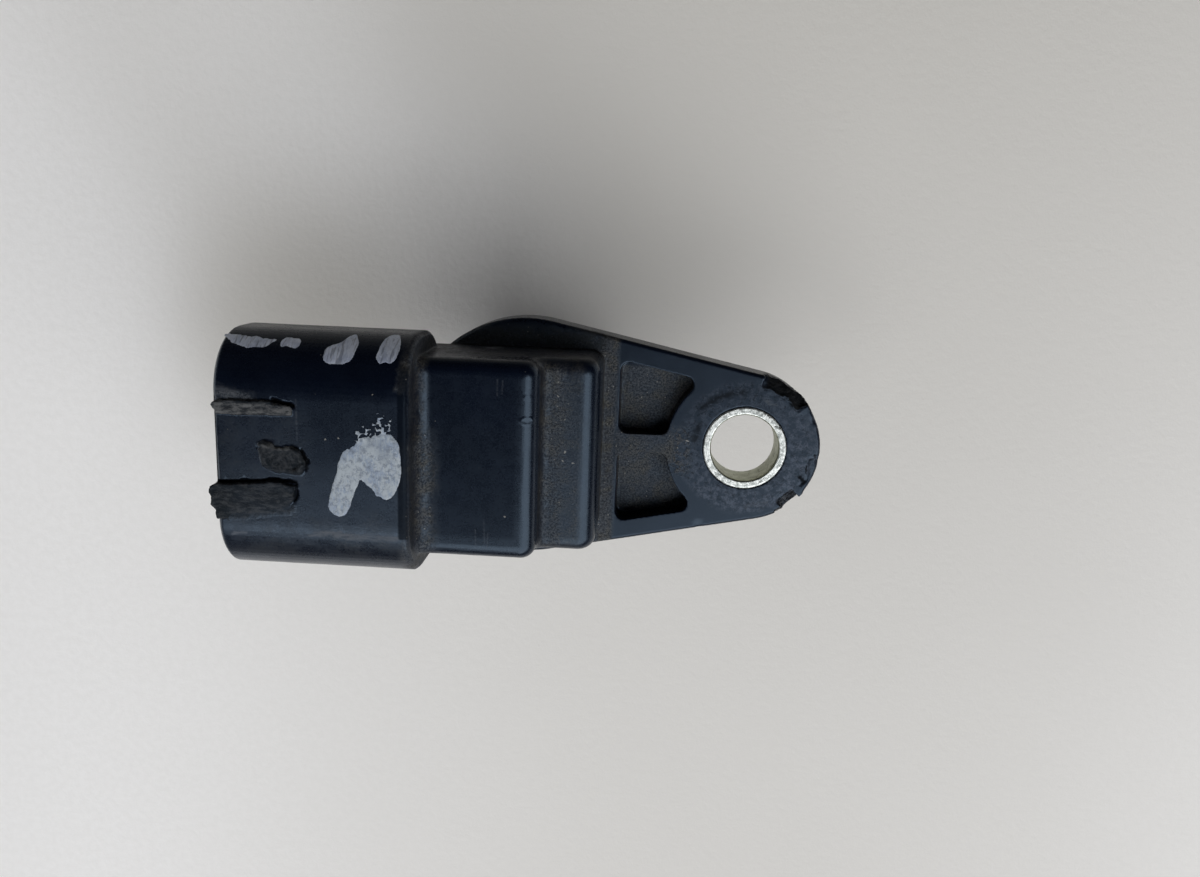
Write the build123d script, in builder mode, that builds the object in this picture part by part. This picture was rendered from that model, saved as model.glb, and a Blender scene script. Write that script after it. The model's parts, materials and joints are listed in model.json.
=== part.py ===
from build123d import *
import os
from math import cos, radians, sin

# Camshaft position sensor, in millimetres. One black moulding carries the plug socket,
# the stepped body, the flange with its bolt ear and the round probe.
# The probe's axis is Z and the flange's underside is at Z = 0. The bolt ear points to +X,
# the plug socket opens to -X, and the probe points down to the engine.

os.makedirs("parts", exist_ok=True)

# Bolt sleeve, a steel tube that takes the load of an M6 screw
sleeve_bore_r = 3.5
sleeve_wall = 0.85
sleeve_length = 4.3
sleeve_chamfer = 0.2
sleeve_outer_r = sleeve_bore_r + sleeve_wall

# Flange: a disc round the probe and an ear round the screw, joined by tangents
flange_thickness = 4.2
disc_r = 12.55
ear_r = 7.84
bolt_x = 22.87
flange_edge_chamfer = 0.25

# Two pockets cored out of the flange's top, with a rib between them
pocket_depth = 2.6
pocket_side_wall = 2.1
pocket_boss_r = 8.2
pocket_rib = 1.95
pocket_land = 1.7
pocket_corner_r = 0.9

# Plug socket, a rounded tube along X
shroud_width = 23.04
shroud_height = 13.4
shroud_top_z = 18.95
shroud_end_x = -8.85
shroud_length = 17.9
shroud_top_corner_r = 5.7
shroud_bottom_corner_r = 4.9
shroud_wall = 1.5
shroud_edge_chamfer = 0.35
socket_depth = 13.9
socket_lead_in = 0.5
key_width = 1.2
key_height = 0.8
key_spacing = 11.0
key_setback = 1.5
shroud_mouth_x = shroud_end_x - shroud_length
shroud_middle_z = shroud_top_z - shroud_height / 2
shroud_bottom_z = shroud_top_z - shroud_height

# Stepped body on the flange: a high block beside the socket and a low step beside the ear
body_width = 19.15
body_drop = 3.05
body_end_x = 2.45
body_edge_r = 1.5
step_drop = 3.5
step_end_x = 7.95
step_edge_r = 1.8
side_edge_r = 1.4
valley_r = 0.9
root_r = 1.4
body_top_z = shroud_top_z - body_drop
step_top_z = body_top_z - step_drop

# Neck between the socket's underside and the disc
neck_width = 14.8
neck_length = 2.7
neck_overlap = 0.8

# Probe with its seal
probe_length = 22.0
spigot_r = 8.9
spigot_length = 6.5
groove_width = 2.9
land_length = 3.0
tip_r = 7.7
tip_chamfer = 0.6
bore_clearance = 0.1
seal_section = 2.2
seal_sides = 16
seal_squeeze = 0.15
seal_centre_z = -(spigot_length + groove_width / 2)
groove_r = spigot_r + bore_clearance + seal_squeeze - seal_section

# Inner holder, the first moulding, which fills the housing's cavity
tip_skin = 1.1
holder_r = 5.8
head_width = 14.8
head_wall = 1.5
head_start_x = -7.4
head_bottom_z = 4.0
holder_skin = 0.9
fit_gap = 0.05
holder_bottom_z = tip_skin - probe_length
head_end_x = body_end_x - head_wall
head_top_z = body_top_z - head_wall

# Circuit board, upright in the holder
board_thickness = 1.0
board_back_x = -4.4
board_head_width = 13.0
board_stem_width = 6.4
board_top_margin = 0.1
board_bottom_lift = 2.1
tail_hole_r = 0.7
board_front_x = board_back_x + board_thickness
board_shoulder_z = head_bottom_z + holder_skin
board_top_z = head_top_z - holder_skin - board_top_margin
board_bottom_z = holder_bottom_z + board_bottom_lift

# Three plug terminals side by side
terminal_names = ["terminal_supply", "terminal_signal", "terminal_ground"]
terminal_pitch = 5.0
blade_width = 2.3
blade_thickness = 0.8
blade_recess = 4.4
blade_tip_chamfer = 0.35
blade_tip_taper = 0.6
tail_width = 1.0
tail_shoulder = 0.6
tail_stand_out = 0.7
terminal_z = shroud_middle_z
blade_tip_x = shroud_mouth_x + blade_recess
tail_end_x = board_front_x + tail_stand_out
shoulder_x = board_back_x - tail_shoulder

# Hall chip at the probe's tip, with its pole piece and bias magnet stacked on it
chip_length = 4.1
chip_depth = 3.0
chip_thickness = 1.5
magnet_r = 2.4
pole_thickness = 1.0
magnet_length = 6.0
chip_bottom_z = holder_bottom_z
pole_bottom_z = chip_bottom_z + chip_thickness
magnet_bottom_z = pole_bottom_z + pole_thickness
magnet_top_z = magnet_bottom_z + magnet_length

# Leads from the chip to the board
lead_names = ["chip_lead_supply", "chip_lead_signal", "chip_lead_ground"]
lead_pitch = 1.27
lead_size = 0.4
lead_rise = 5.6
lead_bend_r = 0.3
lead_z = chip_bottom_z + chip_thickness / 2
lead_top_z = lead_z + lead_rise

# Small components soldered to the board's front, named with their height above it
component_length = 2.0
component_width = 1.25
component_pitch = 3.0
component_first_z = -8.5
components = {
    "supply_capacitor": 0.9,
    "signal_capacitor": 0.9,
    "series_resistor": 0.55,
    "pull_up_resistor": 0.55,
}

# Remains of the latch rails on top of the socket, as outlines of x from the mouth and y
stub_root = 0.6
thin_stub_height = 0.25
thin_stub = [
    (-0.1, 4.95),
    (0.25, 5.3),
    (1.8, 5.45),
    (5.5, 5.45),
    (5.7, 5.2),
    (7.3, 5.25),
    (7.3, 4.35),
    (0.4, 4.2),
]
latch_stub_height = 0.2
latch_stub = [
    (4.2, 1.3),
    (4.6, 1.8),
    (5.3, 1.65),
    (5.75, 1.1),
    (7.15, 1.35),
    (7.8, 1.1),
    (8.55, -0.3),
    (8.0, -1.1),
    (5.7, -1.05),
    (4.5, -0.55),
]
wide_stub_height = 0.45
wide_stub = [
    (0.05, -2.4),
    (-0.4, -2.65),
    (-0.6, -3.1),
    (-0.3, -3.65),
    (-0.45, -4.4),
    (0.0, -4.8),
    (0.1, -5.75),
    (4.2, -5.3),
    (7.05, -4.6),
    (7.3, -3.55),
    (7.65, -2.3),
    (5.3, -1.85),
    (2.95, -2.25),
]

# Chips broken off the ear's rim: angle about the screw, radius where the break starts on
# the top face, width along the rim, and slope of the broken face
ear_chips = [
    (71, 6.6, 1.9, 30),
    (58, 6.4, 2.0, 24),
    (45, 6.6, 1.7, 30),
    (-47, 6.55, 2.1, 50),
    (-57, 7.35, 1.2, 60),
]


def tapered_plan(disc_radius, ear_radius):
    """Draw the disc and the ear joined by their common tangents."""
    with BuildLine() as rims:
        CenterArc((0, 0), disc_radius, 0, 360)
        CenterArc((bolt_x, 0), ear_radius, 0, 360)
    make_hull(rims.edges())


def shroud_section(inset):
    """Draw the socket's section, drawn in on every side by the inset."""
    with Locations((0, shroud_middle_z)):
        Rectangle(shroud_width - 2 * inset, shroud_height - 2 * inset)
    fillet(vertices().group_by(Axis.Y)[-1], shroud_top_corner_r - inset)
    fillet(vertices().group_by(Axis.Y)[0], shroud_bottom_corner_r - inset)


# Flange blank
with BuildPart() as flange_form:
    with BuildSketch():
        tapered_plan(disc_r, ear_r)
    extrude(amount=flange_thickness)
    chamfer(flange_form.edges().filter_by(Axis.Z, reverse=True), flange_edge_chamfer)

# Stepped body, drawn from the side with its valley and its root against the socket
with BuildPart() as body_form:
    with BuildSketch(Plane.XZ):
        with BuildLine():
            Line((shroud_end_x - root_r, flange_thickness), (step_end_x, flange_thickness))
            Line((step_end_x, flange_thickness), (step_end_x, step_top_z - step_edge_r))
            RadiusArc(
                (step_end_x, step_top_z - step_edge_r),
                (step_end_x - step_edge_r, step_top_z),
                -step_edge_r,
            )
            Line((step_end_x - step_edge_r, step_top_z), (body_end_x + valley_r, step_top_z))
            RadiusArc(
                (body_end_x + valley_r, step_top_z), (body_end_x, step_top_z + valley_r), valley_r
            )
            Line((body_end_x, step_top_z + valley_r), (body_end_x, body_top_z - body_edge_r))
            RadiusArc(
                (body_end_x, body_top_z - body_edge_r),
                (body_end_x - body_edge_r, body_top_z),
                -body_edge_r,
            )
            Line((body_end_x - body_edge_r, body_top_z), (shroud_end_x + root_r, body_top_z))
            RadiusArc(
                (shroud_end_x + root_r, body_top_z), (shroud_end_x, body_top_z + root_r), root_r
            )
            Line((shroud_end_x, body_top_z + root_r), (shroud_end_x - root_r, body_top_z + root_r))
            Line((shroud_end_x - root_r, body_top_z + root_r), (shroud_end_x - root_r, flange_thickness))
        make_face()
    extrude(amount=body_width / 2, both=True)
    for side in (0, -1):
        rim = body_form.faces().sort_by(Axis.Y)[side].edges()
        above_flange = rim.filter_by(lambda e: e.center().Z > flange_thickness + valley_r)
        fillet(above_flange.filter_by(lambda e: e.center().X > shroud_end_x), side_edge_r)

# Socket's outer form and its hollow
with BuildPart() as shroud_form:
    with BuildSketch(Plane.YZ.offset(shroud_mouth_x)):
        shroud_section(0)
    extrude(amount=shroud_length)
    chamfer(shroud_form.faces().sort_by(Axis.X)[0].edges(), shroud_edge_chamfer)
    chamfer(shroud_form.faces().sort_by(Axis.X)[-1].edges(), shroud_edge_chamfer)

with BuildPart() as socket_form:
    with BuildSketch(Plane.YZ.offset(shroud_mouth_x)):
        shroud_section(shroud_wall)
    extrude(amount=socket_depth)
    with BuildSketch(Plane.YZ.offset(shroud_mouth_x)):
        shroud_section(shroud_wall - socket_lead_in)
    with BuildSketch(Plane.YZ.offset(shroud_mouth_x + socket_lead_in)):
        shroud_section(shroud_wall)
    loft()
    with Locations(
        (
            shroud_mouth_x + key_setback + socket_depth / 2,
            0,
            shroud_bottom_z + shroud_wall + key_height / 2,
        )
    ):
        with GridLocations(1, key_spacing, 1, 2):
            Box(socket_depth, key_width, key_height, mode=Mode.SUBTRACT)

# Probe, turned about Z, with the groove for its seal
with BuildPart() as probe_form:
    with BuildSketch(Plane.XZ):
        with BuildLine():
            Polyline(
                (0, flange_thickness / 2),
                (spigot_r, flange_thickness / 2),
                (spigot_r, -spigot_length),
                (groove_r, -spigot_length),
                (groove_r, -spigot_length - groove_width),
                (spigot_r, -spigot_length - groove_width),
                (spigot_r, -spigot_length - groove_width - land_length),
                (tip_r, -spigot_length - groove_width - land_length - (spigot_r - tip_r)),
                (tip_r, tip_chamfer - probe_length),
                (tip_r - tip_chamfer, -probe_length),
                (0, -probe_length),
                close=True,
            )
        make_face()
    revolve(axis=Axis.Z)

# Outer form of the inner holder, which is also the cavity in the housing
with BuildPart() as holder_form:
    with BuildSketch(Plane.XY.offset(holder_bottom_z)):
        Circle(holder_r)
    extrude(amount=head_bottom_z - holder_bottom_z)
    with BuildSketch(Plane.XY.offset(head_bottom_z)):
        with Locations(((head_start_x + head_end_x) / 2, 0)):
            Rectangle(head_end_x - head_start_x, head_width)
    extrude(amount=head_top_z - head_bottom_z)

# Plug terminals: a wide blade, then a narrow tail through the board
terminals = []
for number, node_name in enumerate(terminal_names):
    terminal_y = (1 - number) * terminal_pitch
    with BuildPart() as terminal:
        with BuildSketch(Plane.XY.offset(terminal_z - blade_thickness / 2)):
            with BuildLine():
                Polyline(
                    (blade_tip_x, terminal_y + blade_width / 2 - blade_tip_taper),
                    (blade_tip_x + blade_tip_taper, terminal_y + blade_width / 2),
                    (shoulder_x, terminal_y + blade_width / 2),
                    (shoulder_x, terminal_y + tail_width / 2),
                    (tail_end_x, terminal_y + tail_width / 2),
                    (tail_end_x, terminal_y - tail_width / 2),
                    (shoulder_x, terminal_y - tail_width / 2),
                    (shoulder_x, terminal_y - blade_width / 2),
                    (blade_tip_x + blade_tip_taper, terminal_y - blade_width / 2),
                    (blade_tip_x, terminal_y - blade_width / 2 + blade_tip_taper),
                    close=True,
                )
            make_face()
        extrude(amount=blade_thickness)
        tip_face = terminal.faces().sort_by(Axis.X)[0]
        chamfer(tip_face.edges().filter_by(Axis.Y), blade_tip_chamfer)
    terminal.part.label = node_name
    terminals.append(terminal.part)
    export_step(terminal.part, f"parts/{node_name}.step")

# Housing
with BuildPart() as housing:
    add(flange_form.part)
    add(probe_form.part)
    add(shroud_form.part)
    add(body_form.part)

    # Neck under the socket
    with BuildSketch(Plane.XY.offset(flange_thickness)):
        with Locations((shroud_end_x - neck_length / 2, 0)):
            Rectangle(neck_length, neck_width)
    extrude(amount=shroud_bottom_z - flange_thickness + neck_overlap)

    # Broken latch rails
    for outline, height in (
        (thin_stub, thin_stub_height),
        (latch_stub, latch_stub_height),
        (wide_stub, wide_stub_height),
    ):
        with BuildSketch(Plane.XY.offset(shroud_top_z - stub_root)):
            with BuildLine():
                Polyline([(shroud_mouth_x + x, y) for x, y in outline], close=True)
            make_face()
        extrude(amount=stub_root + height)

    # Socket, and the passages of the terminals
    add(socket_form.part, mode=Mode.SUBTRACT)
    add(terminals, mode=Mode.SUBTRACT)

    # Cavity of the inner holder
    add(holder_form.part, mode=Mode.SUBTRACT)

    # Cored pockets
    with BuildSketch(Plane.XY.offset(flange_thickness)) as pockets:
        tapered_plan(disc_r - pocket_side_wall, ear_r - pocket_side_wall)
        with Locations((step_end_x + pocket_land, 0)):
            Rectangle(
                bolt_x - step_end_x - pocket_land,
                2 * disc_r,
                align=(Align.MIN, Align.CENTER),
                mode=Mode.INTERSECT,
            )
        with Locations((bolt_x, 0)):
            Circle(pocket_boss_r, mode=Mode.SUBTRACT)
        Rectangle(2 * bolt_x, pocket_rib, mode=Mode.SUBTRACT)
        fillet(pockets.vertices(), pocket_corner_r)
    extrude(amount=-pocket_depth, mode=Mode.SUBTRACT)

    # Seat of the bolt sleeve
    with Locations((bolt_x, 0, flange_thickness)):
        Hole(sleeve_outer_r)

    # Chips out of the ear's rim
    for angle, start_r, width, slope in ear_chips:
        outward = (cos(radians(angle)), sin(radians(angle)))
        broken_face = Plane(
            origin=(bolt_x + start_r * outward[0], start_r * outward[1], flange_thickness),
            x_dir=(outward[0], outward[1], -sin(radians(slope)) / cos(radians(slope))),
            z_dir=(
                outward[0] * sin(radians(slope)),
                outward[1] * sin(radians(slope)),
                cos(radians(slope)),
            ),
        )
        with BuildSketch(broken_face):
            Rectangle(ear_r, width, align=(Align.MIN, Align.CENTER))
        extrude(amount=ear_r - start_r + flange_thickness, mode=Mode.SUBTRACT)
housing.part.label = "housing"
export_step(housing.part, "parts/housing.step")

# Bolt sleeve
with BuildPart() as bolt_sleeve:
    with BuildSketch():
        with Locations((bolt_x, 0)):
            Circle(sleeve_outer_r)
            Circle(sleeve_bore_r, mode=Mode.SUBTRACT)
    extrude(amount=sleeve_length)
    chamfer(bolt_sleeve.edges().filter_by(GeomType.CIRCLE), sleeve_chamfer)
bolt_sleeve.part.label = "bolt_sleeve"
export_step(bolt_sleeve.part, "parts/bolt_sleeve.step")

# Seal ring, stretched on the groove's floor; its round section is drawn with many short sides
with BuildPart() as seal_ring:
    with BuildSketch(Plane.XZ):
        with Locations((groove_r + seal_section / 2, seal_centre_z)):
            RegularPolygon(seal_section / 2, seal_sides)
    revolve(axis=Axis.Z)
seal_ring.part.label = "seal_ring"
export_step(seal_ring.part, "parts/seal_ring.step")

# Inner holder: a trough open to +X, with a socket for chip, pole piece and magnet at its tip
with BuildPart() as inner_holder:
    add(holder_form.part)
    add(terminals, mode=Mode.SUBTRACT)

    # Room in the head for the board's wide end
    with BuildSketch(Plane.XY.offset(board_shoulder_z)):
        with Locations((board_back_x, 0)):
            Rectangle(
                head_end_x - board_back_x,
                board_head_width + 2 * fit_gap,
                align=(Align.MIN, Align.CENTER),
            )
    extrude(amount=head_top_z - holder_skin - board_shoulder_z, mode=Mode.SUBTRACT)

    # Trough down the stem, over the magnet
    with BuildSketch(Plane.XY.offset(magnet_top_z + holder_skin)):
        with Locations((board_back_x, 0)):
            Rectangle(
                holder_r - board_back_x,
                board_stem_width + 2 * fit_gap,
                align=(Align.MIN, Align.CENTER),
            )
    extrude(amount=board_shoulder_z - magnet_top_z - holder_skin, mode=Mode.SUBTRACT)

    # Slot for the board's lower end
    with BuildSketch(Plane.XY.offset(board_bottom_z - fit_gap)):
        with Locations((board_back_x, 0)):
            Rectangle(
                board_thickness + fit_gap,
                board_stem_width + 2 * fit_gap,
                align=(Align.MIN, Align.CENTER),
            )
    extrude(amount=board_shoulder_z - board_bottom_z, mode=Mode.SUBTRACT)

    # Bore for the pole piece and the magnet
    with BuildSketch(Plane.XY.offset(holder_bottom_z)):
        Circle(magnet_r + fit_gap)
    extrude(amount=magnet_top_z - holder_bottom_z, mode=Mode.SUBTRACT)

    # Recess for the chip
    with BuildSketch(Plane.XY.offset(holder_bottom_z)):
        Rectangle(chip_depth + 2 * fit_gap, chip_length + 2 * fit_gap)
    extrude(amount=chip_thickness, mode=Mode.SUBTRACT)

    # Channel for the chip's leads
    with BuildSketch(Plane.XY.offset(holder_bottom_z)):
        with Locations((board_front_x, 0)):
            Rectangle(
                -board_front_x,
                2 * lead_pitch + lead_size + 2 * fit_gap,
                align=(Align.MIN, Align.CENTER),
            )
    extrude(amount=chip_thickness, mode=Mode.SUBTRACT)
    with BuildSketch(Plane.XY.offset(holder_bottom_z)):
        with Locations((board_front_x, 0)):
            Rectangle(
                lead_size + fit_gap,
                2 * lead_pitch + lead_size + 2 * fit_gap,
                align=(Align.MIN, Align.CENTER),
            )
    extrude(amount=lead_top_z + lead_size - holder_bottom_z, mode=Mode.SUBTRACT)
inner_holder.part.label = "inner_holder"
export_step(inner_holder.part, "parts/inner_holder.step")

# Circuit board, wide at the terminals and narrow in the probe
with BuildPart() as circuit_board:
    with BuildSketch(Plane.YZ.offset(board_back_x)):
        with Locations((0, board_shoulder_z)):
            Rectangle(
                board_head_width,
                board_top_z - board_shoulder_z,
                align=(Align.CENTER, Align.MIN),
            )
            Rectangle(
                board_stem_width,
                board_shoulder_z - board_bottom_z,
                align=(Align.CENTER, Align.MAX),
            )
        with Locations((0, terminal_z)):
            with GridLocations(terminal_pitch, 1, len(terminal_names), 1):
                Circle(tail_hole_r, mode=Mode.SUBTRACT)
    extrude(amount=board_thickness)
circuit_board.part.label = "circuit_board"
export_step(circuit_board.part, "parts/circuit_board.step")

# Hall chip
with BuildPart() as hall_chip:
    with BuildSketch(Plane.XY.offset(chip_bottom_z)):
        Rectangle(chip_depth, chip_length)
    extrude(amount=chip_thickness)
hall_chip.part.label = "hall_chip"
export_step(hall_chip.part, "parts/hall_chip.step")

# Chip leads, bent up against the board
for number, node_name in enumerate(lead_names):
    lead_y = (1 - number) * lead_pitch
    with BuildPart() as chip_lead:
        with BuildLine() as lead_path:
            FilletPolyline(
                (-chip_depth / 2, lead_y, lead_z),
                (board_front_x + lead_size / 2, lead_y, lead_z),
                (board_front_x + lead_size / 2, lead_y, lead_top_z),
                radius=lead_bend_r,
            )
        with BuildSketch(Plane(origin=lead_path.line @ 0, z_dir=lead_path.line % 0)):
            Rectangle(lead_size, lead_size)
        sweep(path=lead_path.line)
    chip_lead.part.label = node_name
    export_step(chip_lead.part, f"parts/{node_name}.step")

# Pole piece and bias magnet
for node_name, bottom_z, length in (
    ("pole_piece", pole_bottom_z, pole_thickness),
    ("bias_magnet", magnet_bottom_z, magnet_length),
):
    with BuildPart() as stacked:
        with BuildSketch(Plane.XY.offset(bottom_z)):
            Circle(magnet_r)
        extrude(amount=length)
    stacked.part.label = node_name
    export_step(stacked.part, f"parts/{node_name}.step")

# Components on the board
for number, (node_name, height) in enumerate(components.items()):
    with BuildPart() as component:
        with BuildSketch(Plane.YZ.offset(board_front_x)):
            with Locations((0, component_first_z + number * component_pitch)):
                Rectangle(component_length, component_width)
        extrude(amount=height)
    component.part.label = node_name
    export_step(component.part, f"parts/{node_name}.step")
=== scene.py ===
import json
import math

import bmesh
import bpy
import numpy as np
from mathutils import Matrix, Vector


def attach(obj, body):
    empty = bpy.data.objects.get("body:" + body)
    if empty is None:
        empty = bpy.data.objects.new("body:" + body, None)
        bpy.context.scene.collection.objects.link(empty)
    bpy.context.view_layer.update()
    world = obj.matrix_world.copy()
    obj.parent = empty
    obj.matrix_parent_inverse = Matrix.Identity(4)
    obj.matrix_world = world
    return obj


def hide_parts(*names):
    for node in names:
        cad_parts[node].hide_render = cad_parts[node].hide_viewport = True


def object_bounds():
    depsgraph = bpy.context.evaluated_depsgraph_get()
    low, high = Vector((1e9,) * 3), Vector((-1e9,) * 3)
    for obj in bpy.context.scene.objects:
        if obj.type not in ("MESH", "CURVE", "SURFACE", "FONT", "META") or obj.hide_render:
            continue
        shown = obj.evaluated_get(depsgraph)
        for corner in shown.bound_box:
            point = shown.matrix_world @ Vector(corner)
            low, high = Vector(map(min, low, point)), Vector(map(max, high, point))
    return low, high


# Lengths below are in millimetres in the part's frame unless a name says otherwise.
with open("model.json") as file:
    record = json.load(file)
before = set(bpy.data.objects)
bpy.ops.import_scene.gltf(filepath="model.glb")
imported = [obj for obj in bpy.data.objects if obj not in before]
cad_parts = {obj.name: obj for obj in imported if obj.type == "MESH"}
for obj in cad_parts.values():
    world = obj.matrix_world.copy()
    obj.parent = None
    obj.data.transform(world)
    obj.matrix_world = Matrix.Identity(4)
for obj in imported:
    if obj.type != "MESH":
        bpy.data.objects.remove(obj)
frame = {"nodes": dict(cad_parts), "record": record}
cad_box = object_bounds()

MM = 0.001

# Sizes shared with the CAD part
BOLT_X = 22.87
FLANGE_TOP = 4.2
FLOOR_Z = -22.0
SLEEVE_BORE_R = 3.5
SLEEVE_OUTER_R = 4.35
SLEEVE_LENGTH = 4.3
SHROUD_TOP = 18.95
SHROUD_FLAT_Y = 5.82
SHROUD_CORNER_R = 5.7
MOUTH_X = -26.75
SOCKET_FLOOR_X = -12.85
TERMINAL_Z = 12.25
TERMINAL_PITCH = 5.0
SEAL_R = 8.05
SEAL_Z = -7.95
SEAL_SECTION_R = 1.1

# Outlines of the broken latch rails on the socket, x from the mouth and y
THIN_RAIL = [
    (-0.1, 4.9), (0.25, 5.3), (1.8, 5.45), (5.5, 5.45), (5.7, 5.2), (7.3, 5.25), (7.3, 4.35), (0.4, 4.2),
]
LATCH = [
    (4.2, 1.3), (4.6, 1.8), (5.3, 1.65), (5.75, 1.1), (7.15, 1.35), (7.8, 1.1), (8.55, -0.3), (8.0, -1.1),
    (5.7, -1.05), (4.5, -0.55),
]
WIDE_RAIL = [
    (0.05, -2.4), (-0.4, -2.65), (-0.6, -3.1), (-0.3, -3.65), (-0.45, -4.4), (0.0, -4.8), (0.1, -5.75),
    (4.2, -5.3), (7.05, -4.6), (7.3, -3.55), (7.65, -2.3), (5.3, -1.85), (2.95, -2.25),
]

# How each rail's top is broken: outline, size and stretch of the lumps, their height, seed
RAIL_BREAKS = (
    (THIN_RAIL, 0.5, (3, 1, 1), 0.05, 21),
    (LATCH, 0.40, (1, 1, 1), 0.16, 22),
    (WIDE_RAIL, 0.6, (2.0, 1, 1), 0.12, 23),
)

# Lines of the latch's lips and hollow, and of the wide rail's torn slope
LATCH_LIP = [(7.3, 1.15), (7.9, 0.75), (8.35, -0.15), (7.95, -0.95), (7.2, -0.95)]
LATCH_HOLLOW = [(5.6, 0.0), (7.2, 0.1)]
LATCH_UPPER_LIP = [(4.3, 1.45), (5.1, 1.35), (5.6, 1.0), (7.0, 1.15)]
WIDE_RAIL_SLOPE = [(0.9, -5.65), (4.2, -5.3), (7.05, -4.6), (7.3, -4.0)]

# Cracks and pits beside the rails: points of x from the mouth and y, width and depth
RAIL_CRACKS = (
    ([(0.3, -2.28), (2.0, -2.12), (4.0, -1.98), (5.4, -1.72), (7.5, -1.95)], 0.09, 0.50),
    ([(7.55, -2.1), (7.5, -3.3), (7.35, -3.7)], 0.11, 0.50),
    ([(5.6, 5.6), (6.1, 5.5), (6.6, 5.3), (7.2, 5.3), (7.45, 5.1)], 0.12, 0.40),
    ([(4.1, 1.15), (4.6, 1.3), (5.0, 0.95)], 0.09, 0.14),
    ([(8.1, 1.0), (8.62, 0.1), (8.45, -0.7)], 0.10, 0.25),
)

# Crack along the ear's rim, in x and y
EAR_CRACK = [(30.35, -0.5), (29.5, -0.95), (29.6, -2.0), (29.6, -3.1), (28.9, -3.6)]

# Nicks in the flange's top edge: x, y, size and depth
FLANGE_NICKS = (
    (11.6, 10.9, 0.4, 0.2), (30.5, -0.9, 0.4, 0.2), (29.9, 3.3, 0.35, 0.12), (18.6, -8.6, 0.4, 0.12),
)

# Gate mark on the high block's edge: x, y, z, radius of its ring, depth
GATE_MARKS = ((1.4, 4.1, 15.5, 0.62, 0.035), (1.4, 6.3, 15.5, 0.4, 0.015))

# Dust in the hollow corners: border, spans in x, y and z, least and most
DUST_ZONES = (
    (0.9, (-9.6, -7.2), (-14.0, 2.6), (5.2, 18.9), 0.25, 0.75),
    (0.4, (-9.6, -7.9), (3.0, 12.0), (5.0, 18.6), 0.1, 0.5),
    (0.7, (2.4, 4.9), None, (12.0, 14.0), 0.30, 0.7),
    (0.5, (3.0, 6.4), None, (12.1, 12.8), 0.18, 0.40),
    (0.45, (7.6, 9.3), None, (3.9, 6.0), 0.68, 1.0),
    (0.7, (-9.0, 8.6), (-12.0, 11.2), (3.5, 6.8), 0.10, 0.35),
    (0.4, None, (9.3, 9.9), (5.0, 12.0), 0.1, 0.4),
    (0.3, (9.2, 17.4), (-7.8, 7.8), (1.0, 2.2), 0.42, 0.68),
    (0.5, (9.2, 15.6), (-2.0, 1.4), (3.8, 4.4), 0.44, 0.8),
    (1.2, (MOUTH_X - 0.5, MOUTH_X + 8.6), (-3.0, 4.4), (18.6, 19.6), 0.05, 0.16),
    (1.6, (MOUTH_X + 1.5, MOUTH_X + 16.5), (-8.6, -4.6), (15.0, 19.6), 0.06, 0.26),
)

# Lumps of dust: ends in x and y, half width, border, span in z, least and most
DUST_LUMPS = (
    ((MOUTH_X + 0.6, 5.9), (MOUTH_X + 3.6, 5.8), 0.35, 0.4, (17, 20), 0.2, 0.7),
    ((-9.5, 7.2), (-9.3, 9.4), 0.45, 0.35, (14, 20), 0.35, 0.75),
)

# Pale scratches and smears on the body and on the flange: ends in x and y, half width, strength
BODY_MARKS = (
    ((-18.1, -6.95), (-15.2, -6.6), 0.20, 0.8),
    ((-15.6, -6.95), (-10.1, -6.9), 0.26, 0.7),
    ((-25.5, -7.3), (-24.2, -7.05), 0.12, 0.7),
    ((-26.3, 6.5), (-24.6, 6.0), 0.35, 0.35),
    ((-19.0, 5.7), (-19.0, 2.0), 0.07, 0.22),
    ((-3.2, -6.6), (-3.15, -8.2), 0.05, 0.22),
    ((-2.4, -5.6), (-2.3, -8.0), 0.06, 0.18),
    ((-2.0, -6.9), (-2.05, -8.3), 0.05, 0.22),
    ((-1.3, 7.9), (-1.3, 6.4), 0.06, 0.18),
    ((-0.8, 7.8), (-0.85, 6.6), 0.06, 0.18),
)
FLANGE_MARKS = (
    ((24.6, 5.2), (25.8, 4.7), 0.20, 0.35),
    ((25.6, -5.6), (23.5, -6.4), 0.25, 0.35),
)

# Black lines of painted shade in the cracks beside the rails: ends as x from the mouth and y
CRACK_SHADE_LINES = (
    (0.3, -2.26, 4.0, -1.96), (4.0, -1.96, 7.5, -1.9), (7.55, -2.0, 7.4, -3.7), (5.6, 5.62, 7.45, 5.15),
    (8.15, 1.0, 8.6, -0.6),
)

# Single pale specks: place in x and y, radius
PALE_SPECKS = (
    ((-0.43, -5.1), 0.11), ((4.06, 6.0), 0.07), ((4.72, 3.72), 0.05), ((4.82, 0.53), 0.10),
    ((4.6, -0.23), 0.08), ((5.58, -0.55), 0.07), ((3.87, -0.27), 0.05), ((16.9, 0.44), 0.13),
    ((-12.1, 6.5), 0.06), ((-15.2, 2.4), 0.07), ((-16.5, 2.1), 0.06),
)

# Painted light and shade on the paper in patches: centre in x and y, radius, and how much darker, or
# lighter below 0
PAPER_LIGHT_AND_SHADE_PATCHES = (
    ((-18.0, 14.4), 33.0, -0.25),
    ((-29.0, 7.2), 29.0, 0.33),
    ((-74.0, 14.0), 34.0, -0.13),
    ((-34.0, 42.0), 26.0, -0.09),
)

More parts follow.
